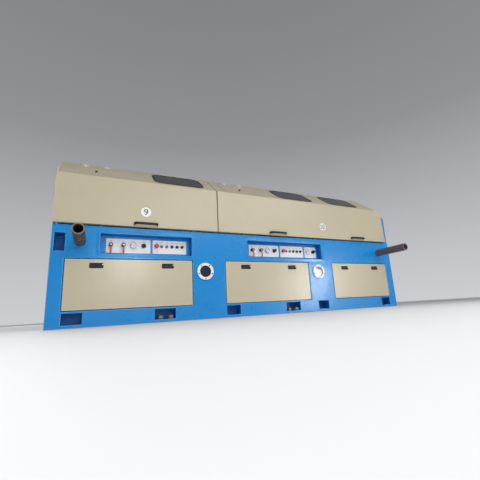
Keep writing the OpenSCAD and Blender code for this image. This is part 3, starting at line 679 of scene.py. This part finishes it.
green_cap = cap_paint("green_button_cap", (.020, .115, .060), (.040, .170, .095))
red_cap = cap_paint("red_button_cap", (.42, .030, .028), (.55, .055, .045))
ring_grey = cap_paint("button_ring_grey", (.23, .23, .25), (.34, .34, .36))

start_form = bmesh.new()
for here, tall in on_plates("start_buttons"):
    push_button(start_form, here)
seat("start_buttons", start_form, "bed", [green_cap, ring_grey])

stop_form = bmesh.new()
for here, tall in on_plates("stop_buttons"):
    if tall < 30:
        push_button(stop_form, here)
    else:
        turn(stop_form, here, [(14.5, 0), (14.5, 10), (13.5, 12), (11, 12.4), (10.5, 22)], 36, 1)
        turn(stop_form, here, [(12, 21.6), (19, 22), (20.6, 24), (21, 27), (20.4, 30), (18, 33),
                               (14, 35), (8, 35.8), (2, 36)], 48)
seat("stop_buttons", stop_form, "bed", [red_cap, ring_grey])

# Air valves
# Four rotary valves: a black bonnet on the plate, a steel stem and nut in a black cap, and a
# cranked strip handle dipped in orange-red plastic.

hub_form = bmesh.new()
for here, tall in on_plates("valve_hubs"):
    turn(hub_form, here, [(17, 0), (17, 17), (16, 19.5), (14, 21.7)], 40)
    turn(hub_form, here, [(5, 20), (5, tall)], 20, 1)
    turn(hub_form, here, [(14, 27.3), (16, 28), (17, 30), (17, 35), (15.5, 36.6), (12, 37),
                          (11, 35.4)], 40)
    turn(hub_form, here, [(9.2, 35), (9.2, 36.2), (8.6, 36.9), (5.2, 37)], 6, 1)
seat("valve_hubs", hub_form, "bed", [black_plastic, bright_steel])

lever_grip = patchy_paint(
    "orange_red_grip", (.52, .060, .030), (.66, .11, .06), (.02, 3), (.36, .2), (.004, 2), .00015)
lever_up, lever_thick = 24.5, 5
for station, (low, high) in zip(("9a", "9b", "10a", "10b"), parts_of("valve_hubs")):
    here = upright((low.x + high.x) / 2, plate_face - lever_up, control_z)
    lever_form = bmesh.new()
    turn(lever_form, here, [(13.5, -2.4), (14.5, -1.6), (14.5, 1.6), (13.5, 2.4), (5.1, 2.4),
                            (5.1, -2.4)], 36, ring=True)
    path = [(-9, 0, 11), (-15, .5, 12), (-23, 6, 13), (-31, 13, 15), (-38, 15.5, 16),
            (-60, 16, 16), (-72, 16, 15.5), (-77, 16, 13.5), (-80.5, 16, 9), (-82, 16, 5)]
    loops = []
    for k, (down, out, wide) in enumerate(path):
        before, after = path[max(k - 1, 0)], path[min(k + 1, len(path) - 1)]
        lean = math.atan2(after[1] - before[1], before[0] - after[0])
        loops.append([(u, down + v * math.sin(lean), out + v * math.cos(lean))
                      for u, v in outline(wide, lever_thick, 2.2, 3)])
    skin(lever_form, here, loops)
    body = "valve_lever_" + station
    seat(body, lever_form, body, [lever_grip], smooth=50)

# Sight ports
# A white painted ring flange on a dark rubber seat, held by five screws, with a black bead and
# a dark round glass behind it. The dark seat also paints the shade along the flange's side.

black_rubber = patchy_paint(
    "black_rubber", (.012, .012, .014), (.034, .034, .037), (.02, 4, .6), (.45, .25), (.002, 2),
    .00008, shine=.22)
port_glass = patchy_paint(
    "port_glass", (.008, .014, .036), (.014, .022, .052), (.08, 4), (.05, .10), (.2, 1), .0004)
port_form = bmesh.new()
glass_form = bmesh.new()
port_rim, screw_circle, screws = 84, 71.5, 5
for x in port_x:
    here = upright(x, 0, port_z)
    # The dark rubber seat, which also paints the shade along the flange's side.
    turn(port_form, here, [(port_rim - 1, 0), (port_rim - .4, 5), (port_rim - 1, 5.6),
                           (57.6, 5.6), (57.6, 0)], 64, 2, ring=True)
    turn(port_form, here, [(port_rim, 5.4), (port_rim, 11.4), (port_rim - .5, 12.5),
                           (port_rim - 1.8, 13), (59.3, 13), (58, 12.6), (57.4, 11.6),
                           (57.4, 5.4)], 64, ring=True)
    turn(port_form, here, [(57.4, 1), (57.4, 6.4), (56.6, 7.4), (55.4, 7.6), (54.5, 6.8),
                           (54.2, 5), (54.2, 1)], 64, 2, ring=True)
    for k in range(screws):
        angle = math.radians(270 + 360 / screws * k)
        screw = upright(x + screw_circle * math.cos(angle), 0,
                        port_z + screw_circle * math.sin(angle))
        turn(port_form, screw, [(6, 12.6), (6, 16.4), (5.2, 17.6), (3.4, 18), (3.2, 15.6),
                                (.6, 15.6)], 18, 1)
    turn(glass_form, here, [(55.6, -8), (55.6, 2), (54.4, 3.2), (30, 3.6), (4, 3.7)], 64)
seat("port_flanges", port_form, "bed", [white_coat, black_plastic, black_rubber])
seat("port_glasses", glass_form, "bed", [port_glass])

# Lifting pipes
# Two thick steel pipes through the bed, from which it is lifted. They are bare and weathered
# grey-brown, with scale, old yellow paint in spots, and ends cut bright by a saw.


def pipe_shade(spot):
    scale = spot.cloud(.035, 5, .65, stretch=(1, .35, 1))
    right_end = spot.along("X").band(-1, 1)
    left_end = 1 - right_end
    fleck = left_end * spot.cloud(.028, 6, .75, stretch=(1, .28, 1), shift=(3, 1, 2)).band(.5, .68)
    stain = spot.cloud(.07, 3, shift=(1, 5, 2)).band(.45, .7)
    base = scale.blend((.040, .034, .030), (.108, .091, .078))
    base = (.6 * stain).blend(base, (.16, .115, .075))
    base = (.7 * fleck).blend(base, (.34, .275, .16))
    base = (.4 * right_end).blend(base, (.20, .185, .20))
    return {"Base Color": base, "Metallic": .2, "Roughness": .55 + .3 * scale,
            "Normal": spot.dent(scale, .0012, spot.dent(spot.cloud(.004, 3), .0002))}


worn_pipe = mix_paint("worn_pipe_steel", pipe_shade)
saw_marks = (.003, 3, .5, (1, 1, 6))
sawn_end = patchy_paint(
    "sawn_pipe_end", (.13, .115, .10), (.24, .21, .18), saw_marks, (.45, .25), saw_marks, .0002,
    metal=.4)
pipe_form = bmesh.new()
pipe_front, pipe_back = reach("lifting_pipes", "y")
pipe_long = pipe_back - pipe_front
outer = pipe_across / 2
inner = outer - 10
for x in pipe_x:
    turn(pipe_form, upright(x, pipe_back, pipe_z),
         [(outer - 2, 0), (outer, 2), (outer, pipe_long - 2), (outer - 2, pipe_long),
          (inner + 1, pipe_long), (inner, pipe_long - 1.5), (inner, 1.5), (inner + 1, 0)],
         56, ring=True)
    for side, station in (("front", x), ("rear", BED_L - x)):
        turn(pipe_form, upright(station, 0, pipe_z, side),
             [(outer + .1, 3), (outer + 1.4, 2.6), (outer + 2.8, 1.4), (outer + 3.6, 0),
              (outer + .1, -1)], 56, 2, ring=True)
cut_depth = 2.5
for face in pipe_form.faces:
    ends = [v.co.y * 1000 + BED_D / 2 for v in face.verts]
    if face.material_index == 0 and (max(ends) < pipe_front + cut_depth
                                     or min(ends) > pipe_back - cut_depth):
        face.material_index = 1
seat("lifting_pipes", pipe_form, "bed", [worn_pipe, sawn_end, blue_paint])

# Foundation bolts
# Plated hexagon nuts on dark washers over the bolts' dark ends, two in each wide pocket. They
# hold the base plate down on the foundation.

nut_steel = patchy_paint(
    "dull_plated_nuts", (.135, .145, .165), (.26, .27, .29), (.02, 4, .6), (.42, .25), (.002, 2),
    .00008, metal=.75)
nut_form = bmesh.new()
for low, high in parts_of("anchor_nuts"):
    here = level((low.x + high.x) / 2, (low.y + high.y) / 2, base_thick)
    turn(nut_form, here, [(34, 0), (35.5, 1), (35.5, 11), (34.5, 12)], 40, 1)
    turn(nut_form, here, [(29, 12), (31.7, 14), (31.7, 34), (28.5, 36)], 6)
    turn(nut_form, here, [(15, 34), (15, 44.6), (13.6, 46)], 28, 1)
seat("anchor_nuts", nut_form, "bed", [nut_steel, worn_pipe], smooth=25)

# Hood buffers
# Short rubber feet on the deck, each beside a small plated bolt, that the closed hoods rest on.

buffer_form = bmesh.new()
for low, high in parts_of("hood_buffers"):
    foot = level((low.x + high.x) / 2, 14, BED_H)
    turn(buffer_form, foot, [(13, 0), (13, 8.5), (12, 11), (9, 11.7)], 28)
    turn(buffer_form, foot @ Matrix.Translation((24, -2, 0)),
         [(7, 0), (7, 1.5), (5.5, 1.6), (5.5, 6.5), (4.5, 7.5)], 12, 1)
seat("hood_buffers", buffer_form, "bed", [black_rubber, bright_steel])

# Hoods
# Two lids of folded 3 mm sheet, powder-coated cream, with an upright front, a slope and a flat
# top. The right one is rounded over its end, where slope and top meet the side in one shoulder.

hood_low, hood_top = reach("hood_9", "z")
hood_front = reach("hood_9", "y")[0]
hood_back = 1072
crease_z = hood_low + 448
ridge_y = hood_front + 342
slope = math.atan2(hood_top - crease_z, ridge_y - hood_front)
sheet_thick = 3
margin = 14
flange_wide, hem_out = 28, 8
slot_back, slot_front, slot_top = 340, 220, 1086
window_x = columns(10.87, 25.30, 33.04)
window_size, window_radius, window_up = (500, 330), 80, 212
flap_size, flap_low = (364, 328), 12
flap_x = [left + flap_size[0] / 2 for left in columns(1.23, 15.79)]
flap_up = flap_low + flap_size[1] / 2
flap_hole = (flap_size[0] - 40, flap_size[1] - 40, 15)


def on_slope(x, up, out=0):
    """A workpiece on the slope: its X along the machine, its Y up the slope, its Z outwards."""
    return (level(x, hood_front + up * math.cos(slope), crease_z + up * math.sin(slope))
            @ Matrix.Rotation(slope, 4, "X") @ Matrix.Translation((0, 0, out)))


def hood_line(drop):
    """The hood's side line, with its slope and top lowered by drop, as a list of (y, z)."""
    crease = crease_z - drop / math.cos(slope)
    ridge = ridge_y + drop * math.tan(slope / 2)
    top = hood_top - drop
    along, rise = margin * math.cos(slope), margin * math.sin(slope)
    return [(hood_front + 40, hood_low), (hood_front + margin, hood_low), (hood_front, hood_low),
            (hood_front, hood_low + margin), (hood_front, crease - margin), (hood_front, crease),
            (hood_front + along, crease + rise), (ridge - along, top - rise), (ridge, top),
            (ridge + margin, top), (hood_back, top)]


def fold_hood(left, right, closed, shoulder, windows, flap):
    """A hood's outer faces from left to right, closed at one side and flanged at the other."""
    form = bmesh.new()

    def line(x, points):
        return [form.verts.new(level(x, y, z).translation) for y, z in points]

    def fill(edges):
        bmesh.ops.triangle_fill(form, use_beauty=True, use_dissolve=False, edges=edges)

    stations = [(left, 0), (left + margin, 0), (right - shoulder - margin, 0),
                (right - shoulder, 0)]
    if shoulder:
        bends = [math.pi / 2 * k / 9 for k in range(1, 10)]
        stations += [(right - shoulder + shoulder * math.sin(bend), shoulder * (1 - math.cos(bend)))
                     for bend in bends]
    rows = [line(x, hood_line(drop)) for x, drop in stations]
    for k, (low, high) in enumerate(zip(rows, rows[1:])):
        for i in range(len(low) - 1):
            if (k, i) != (1, 6):
                form.faces.new((low[i], low[i + 1], high[i + 1], high[i]))
    # The slope, with its window and flap holes
    edges = [form.edges.get(pair) for pair in
             ((rows[1][6], rows[1][7]), (rows[1][7], rows[2][7]), (rows[2][7], rows[2][6]),
              (rows[2][6], rows[1][6]))]
    cuts = [(on_slope(x, window_up), (*window_size, window_radius)) for x in windows]
    for where, size in cuts + [(on_slope(flap, flap_up), flap_hole)]:
        loop = [form.verts.new(where @ Vector((u, v, 0))) for u, v in outline(*size, 8)]
        edges += [form.edges.new((loop[i - 1], loop[i])) for i in range(len(loop))]
    fill(edges)
    # The flange turned in at the split, and the side sheet with its slot for the wire
    if closed == "right":
        split_x, split_row, side_x, side_row = left, rows[0], right, rows[-1]
    else:
        split_x, split_row, side_x, side_row = right, rows[-1], left, rows[0]
    flange_z = crease_z + flange_wide * (math.tan(slope) - 1 / math.cos(slope))
    flange_top = hood_top - flange_wide
    bend = line(split_x, [(hood_front + flange_wide, hood_low), (hood_front + flange_wide, flange_z),
                          (ridge_y + flange_wide * math.tan(slope / 2), flange_top),
                          (hood_back, flange_top)])
    form.faces.new((*split_row[1:3], bend[0]))
    form.faces.new((*split_row[2:6], bend[1], bend[0]))
    form.faces.new((*split_row[5:9], bend[2], bend[1]))
    form.faces.new((*split_row[8:11], bend[3], bend[2]))
    ring = side_row[2:] + line(side_x, [(hood_back, hood_low), (slot_back, hood_low),
                                        (slot_back, slot_top), (slot_front, slot_top),
                                        (slot_front, hood_low)])
    fill([form.edges.get((ring[i - 1], ring[i])) or form.edges.new((ring[i - 1], ring[i]))
          for i in range(len(ring))])
    # The top's hem over the rear wall
    hem = [line(x, [(BED_D + hem_out, hood_top)])[0] for x, drop in stations[:4]]
    for k in range(3):
        form.faces.new((rows[k][10], hem[k], hem[k + 1], rows[k + 1][10]))
    return form


def roll_folds(piece):
    """Rounds a hood's folds and gives its sheet a thickness."""
    fold = piece.modifiers.new("folds", "BEVEL")
    fold.limit_method = "ANGLE"
    fold.angle_limit = math.radians(25)
    fold.width = .005
    fold.segments = 4
    fold.use_clamp_overlap = False
    thick = piece.modifiers.new("sheet", "SOLIDIFY")
    thick.thickness = sheet_thick / 1000
    thick.offset = -1


split_left = reach("hood_9", "x")[1]
split_right, hood_end = reach("hood_10", "x")
for hood, form in (
        ("hood_9", fold_hood(0, split_left, "left", 0, window_x[:1], flap_x[0])),
        ("hood_10", fold_hood(split_right, hood_end, "right", 100, window_x[1:], flap_x[1]))):
    seat(hood, form, hood, [cream_paint], smooth=0, shape=roll_folds)

# Hood hinges
# The moving knuckles of the hoods' rear hinges, two a hood, each on an ear welded under the lid
# and painted with it. They turn on the pins that the rear wall carries.

hinge_x = columns(2.50, 12.10, 17.50, 36.50)
hinge_y, hinge_z = BED_D - 10, hood_top - sheet_thick - 15
for hood, stations in (("hood_9", hinge_x[:2]), ("hood_10", hinge_x[2:])):
    ear_form = bmesh.new()
    for x in stations:
        pin = level(x, hinge_y, hinge_z)
        turn(ear_form, pin @ Matrix.Rotation(math.pi / 2, 4, "Y"),
             [(12.8, -20), (14, -18.8), (14, 18.8), (12.8, 20), (9, 20), (8.4, 19.4),
              (8.4, -19.4), (9, -20)], 36, ring=True)
        plate(ear_form, pin, 40, 23, 1.5, [(0, 8.6), (0, 15)])
    seat(hood + "_hinge_ears", ear_form, hood, [cream_paint], replaces=[])

# Windows
# Rounded panes of dark tinted plastic, one in the left hood and two in the right. A black rubber
# section grips each pane and the cut edge of the slope.


def tinted_shade(spot):
    smear = spot.cloud(.15, 4)
    return {"Base Color": smear.blend((.030, .031, .036), (.050, .050, .056)),
            "Roughness": .06 + .10 * smear, "Alpha": .80 + .08 * smear,
            "Normal": spot.dent(spot.cloud(.3, 1), .0006)}


tinted_pane = mix_paint("tinted_pane", tinted_shade)
for hood, windows, pane_name, seal_name in (("hood_9", window_x[:1], "window_9", "gasket_9"),
                                            ("hood_10", window_x[1:], "windows_10", "gaskets_10")):
    pane_form = bmesh.new()
    seal_form = bmesh.new()
    for x in windows:
        here = on_slope(x, window_up)
        plate(pane_form, here, window_size[0] - 17, window_size[1] - 17, window_radius - 8.5,
              [(0, -3), (0, 1), (1, 2)], bend=10)
        plate(seal_form, here, *window_size, window_radius,
              [(-10, .1), (-10, 2.2), (-9, 3.5), (-7, 4), (2, 4), (6, 3.6), (7.6, 2.6), (8.2, 1),
               (8.2, -3), (.4, -3), (.4, .1)], ring=True, bend=10)
    seat(pane_name, pane_form, hood, [tinted_pane])
    seat(seal_name, seal_form, hood, [black_rubber])

# Pull handles
# Moulded black bow handles, a flat band that stands 42 mm off the hood's lower edge, one on the
# left hood and two on the right.

handle_x = columns(7.45, 21.87, 34.11)
handle_half, handle_out, handle_thick, handle_tall, handle_bend = 108, 42, 11, 24, 26


def bow_handle(form, x):
    reach_out = handle_half - handle_thick / 2
    out, bend = handle_out - handle_thick / 2, handle_bend - handle_thick / 2
    path = [(-reach_out, 0, 0), (-reach_out, out - bend, 0)]
    path += [(-reach_out + bend * (1 - math.cos(a)), out - bend * (1 - math.sin(a)), a)
             for a in (math.pi / 2 * k / 6 for k in range(1, 7))]
    path += [(0, out, math.pi / 2)]
    path += [(-u, w, math.pi - a) for u, w, a in reversed(path[:-1])]
    loops = [[(u + p * math.cos(angle), v, w - p * math.sin(angle))
              for p, v in outline(handle_thick, handle_tall, 4.5, 4)]
             for u, w, angle in path]
    skin(form, upright(x, hood_front, hood_low + 25), loops)


for name, spots, hood in (("handle_9", handle_x[:1], "hood_9"),
                          ("handles_10", handle_x[1:], "hood_10")):
    handle_form = bmesh.new()
    for x in spots:
        bow_handle(handle_form, x)
    seat(name, handle_form, hood, [black_plastic], smooth=60)

# Number discs
# White enamelled discs with a thin dark grey ring at the rim, painted shade round the disc's edge,
# and the station's number in dark grey, fixed flat to the front of each hood.

digits_and_rim_shade_grey = ink_paint("dark_grey_digits_and_painted_rim_shade", (.045, .047, .054), (.075, .077, .084), .004, .45)
disc_x = columns(7.42, 28.53)
disc_z, disc_rim = hood_low + 146, 51
digit_tall = 59
for number, x, wide in (("9", disc_x[0], 40), ("10", disc_x[1], 58)):
    disc_form = bmesh.new()
    here = upright(x, hood_front, disc_z)
    turn(disc_form, here, [(disc_rim, 0), (disc_rim, 1.2), (disc_rim - .6, 1.7),
                           (disc_rim - 2, 1.7)], 72)
    # This ring takes the digits' dark grey: painted shade round the disc's edge.
    turn(disc_form, here, [(disc_rim - .4, 1.2), (disc_rim - .8, 1.9), (disc_rim - 2.4, 1.9),
                           (disc_rim - 2.8, 1.5)], 72, 1, ring=True)
    text = bpy.data.curves.new("digits_" + number, "FONT")
    text.body = number
    text.extrude = .0002
    text.offset = .009
    lettering = bpy.data.objects.new("digits_" + number, text)
    scene.collection.objects.link(lettering)
    bpy.context.view_layer.update()
    flat = bpy.data.meshes.new_from_object(lettering.evaluated_get(
        bpy.context.evaluated_depsgraph_get()))
    bpy.data.objects.remove(lettering)
    low, high = (Vector([pick(v.co[i] for v in flat.vertices) for i in range(3)])
                 for pick in (min, max))
    for v in flat.vertices:
        v.co = here @ Vector(((v.co.x - (low.x + high.x) / 2) * wide / (high.x - low.x),
                              (v.co.y - (low.y + high.y) / 2) * digit_tall / (high.y - low.y),
                              1.5 + (v.co.z - low.z) / (high.z - low.z) * .45))
    first = len(disc_form.faces)
    disc_form.from_mesh(flat)
    disc_form.faces.ensure_lookup_table()
    for face in disc_form.faces[first:]:
        face.material_index = 1
    bpy.data.meshes.remove(flat)
    seat("number_disc_" + number, disc_form, "hood_" + number,
         [white_coat, digits_and_rim_shade_grey])

# Soap flaps
# A loose sheet lid on the slope over each die box, on two bright hinges at its upper edge, with
# a knob and a dark seal under its rim. The dark seal also paints the shadow in the seam round the
# lid.

white_zinc = patchy_paint(
    "white_zinc_hinges", (.66, .66, .655), (.82, .815, .80), (.012, 4, .6), (.30, .2), (.0015, 2),
    .00004, metal=.45)
hinge_out, hinge_in, leaf_in = 9, 84, 18
knob_up = flap_low + 80
for station, x in (("9", flap_x[0]), ("10", flap_x[1])):
    flap_form = bmesh.new()
    hinge_form = bmesh.new()
    here = on_slope(x, flap_up)
    plate(flap_form, here, *flap_size, 10, [(0, 1.3), (0, 2.6), (.7, 3.3)])
    # A black rubber seal under the rim, dark also as painted shadow in the seam round the lid.
    plate(flap_form, here, *flap_size, 10, [(-.6, .35), (-.6, 1.3), (14, 1.3), (14, .35)], 2,
          ring=True)
    for side in (-1, 1):
        leaf = on_slope(x + side * (flap_size[0] / 2 - hinge_in), flap_low + flap_size[1] + hinge_out)
        axle = leaf @ Matrix.Translation((0, 0, hinge_out)) @ Matrix.Rotation(math.pi / 2, 4, "Y")
        turn(flap_form, axle, [(5, -9.8), (6, -8.8), (6, 8.8), (5, 9.8), (3.1, 9.8), (3.1, -9.8)],
             24, 1, ring=True)
        plate(flap_form, leaf, 20, 26, 3, [(0, 3.2), (0, 5.6), (.6, 6)], 1, middle=(0, -21))
        plate(flap_form, leaf, 20, 8, 1, [(0, 3.2), (.5, 11.4)], 1, middle=(0, -8.2))
        plate(hinge_form, leaf, 50, 25, 4, [(0, .1), (0, 2.4), (.6, 3)], middle=(0, 13))
        for end in (-1, 1):
            turn(hinge_form, axle @ Matrix.Translation((0, 0, end * leaf_in)),
                 [(5, -6.9), (6, -6), (6, 6), (5, 6.9)], 24)
            plate(hinge_form, leaf, 13.6, 6, 1, [(0, 2.6), (0, 9)], middle=(end * leaf_in, 3))
            turn(hinge_form, leaf @ Matrix.Translation((end * 16, 18, 3)),
                 [(4.4, -.2), (4.2, 1), (2.6, 2.2), (.6, 2.4)], 16)
        turn(hinge_form, axle, [(3, -24.8), (3, 24.8)], 16)
    seat("flap_" + station, flap_form, "flap_" + station,
         [cream_paint, white_zinc, black_rubber])
    seat("flap_hinges_" + station, hinge_form, "hood_" + station, [white_zinc])
    knob_form = bmesh.new()
    knob = on_slope(x, knob_up, 3.3)
    turn(knob_form, knob, [(10.5, 0), (10.5, 1.6), (7, 3), (5.5, 6), (6, 10)], 32, 1)
    turn(knob_form, knob, [(6, 9.6), (9, 11), (10.5, 14), (10.5, 19), (9.2, 21.8), (6.5, 22.9),
                           (2, 23)], 36)
    seat("flap_knob_" + station, knob_form, "flap_" + station,
         [black_plastic, bright_steel])

# Walls and drawing gear
# The outlet wall is bed plate and the rear wall hood sheet, each painted with its neighbours.
# The blocks and the guide pulley are turned cast iron, and the die boxes are painted grey.

turning = (.02, 3, .5, (1, 1, 20))
block_iron = patchy_paint(
    "turned_block_iron", (.22, .22, .23), (.36, .36, .37), turning, (.28, .2), turning, .0001,
    metal=.85)
grey_paint = patchy_paint(
    "grey_machine_paint", (.16, .17, .18), (.26, .27, .28), (.05, 4, .6), (.45, .2), (.005, 1),
    .0001)
for node, coat in (("outlet_wall", blue_paint), ("rear_wall", cream_paint),
                   ("drawing_blocks", block_iron), ("die_boxes", grey_paint),
                   ("guide_pulley", block_iron)):
    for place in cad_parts[node].material_slots:
        place.material = coat
